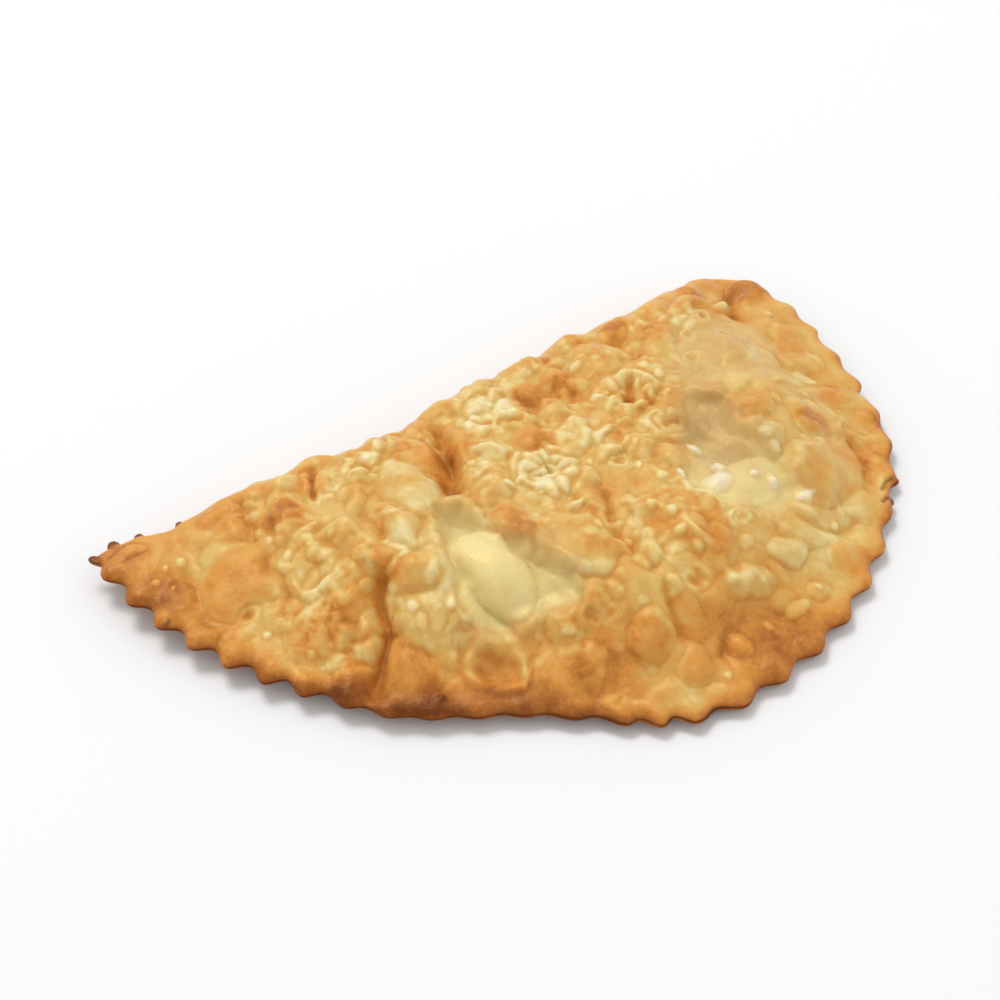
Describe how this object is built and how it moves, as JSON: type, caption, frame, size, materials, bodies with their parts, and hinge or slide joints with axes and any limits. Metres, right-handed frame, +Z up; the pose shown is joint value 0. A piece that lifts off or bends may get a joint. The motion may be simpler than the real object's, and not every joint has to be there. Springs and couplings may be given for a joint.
{
  "type": "cheburek",
  "caption": "Whole fried half-moon turnover with a straight fold, a fluted sealed arc and a browned, blistered crust over its filling.",
  "frame": {"origin": "centre of the bounding box in plan, on the table under the flat underside", "axes": "+X along the straight fold toward the blunter tip, +Y from the sealed arc toward the fold, +Z up from the table"},
  "size_m": [0.1884, 0.1162, 0.0239],
  "materials": {
    "crust": "fried dough, golden with orange-brown blisters, slightly oily"
  },
  "bodies": {
    "root": {"crust": "crust"}
  },
  "joints": []
}
